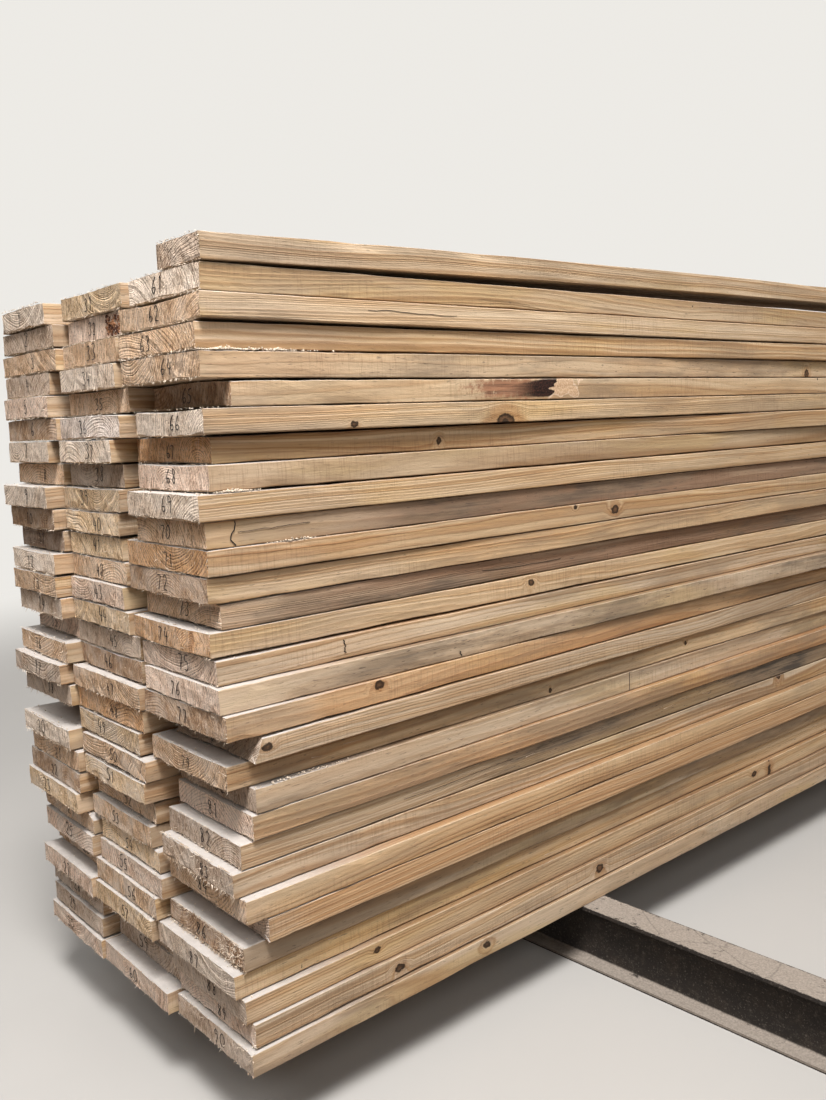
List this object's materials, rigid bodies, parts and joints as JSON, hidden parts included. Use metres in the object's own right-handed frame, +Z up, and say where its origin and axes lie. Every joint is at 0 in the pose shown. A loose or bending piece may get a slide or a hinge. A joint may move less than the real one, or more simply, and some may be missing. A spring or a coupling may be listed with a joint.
{
  "type": "stack of lumber",
  "caption": "Stack of sawn softwood boards laid flat in three columns with staggered ends, on two steel I-section bearers.",
  "frame": {"origin": "on the floor, below the middle of the stack's length and of the bearers' length", "axes": "+X along the boards, away from their near ends; +Y across the stack, from the right column to the left one; +Z up"},
  "size_m": [3.99, 1.5012, 1.3178],
  "materials": {
    "sawn_softwood": "rough sawn, weathered, with dust on what stands out",
    "dusty_steel": "dark, rust-stained and covered with pale dust on its upper faces"
  },
  "bodies": {
    "root": {"layer_01": "sawn_softwood", "layer_02": "sawn_softwood", "layer_03": "sawn_softwood", "layer_04": "sawn_softwood", "layer_05": "sawn_softwood", "layer_06": "sawn_softwood", "layer_07": "sawn_softwood", "layer_08": "sawn_softwood", "layer_09": "sawn_softwood", "layer_10": "sawn_softwood", "layer_11": "sawn_softwood", "layer_12": "sawn_softwood", "layer_13": "sawn_softwood", "layer_14": "sawn_softwood", "layer_15": "sawn_softwood", "layer_16": "sawn_softwood", "layer_17": "sawn_softwood", "layer_18": "sawn_softwood", "layer_19": "sawn_softwood", "layer_20": "sawn_softwood", "layer_21": "sawn_softwood", "layer_22": "sawn_softwood", "layer_23": "sawn_softwood", "layer_24": "sawn_softwood", "layer_25": "sawn_softwood", "layer_26": "sawn_softwood", "layer_27": "sawn_softwood", "layer_28": "sawn_softwood", "layer_29": "sawn_softwood", "layer_30": "sawn_softwood", "layer_31": "sawn_softwood", "bearer_near": "dusty_steel", "bearer_far": "dusty_steel"}
  },
  "joints": []
}
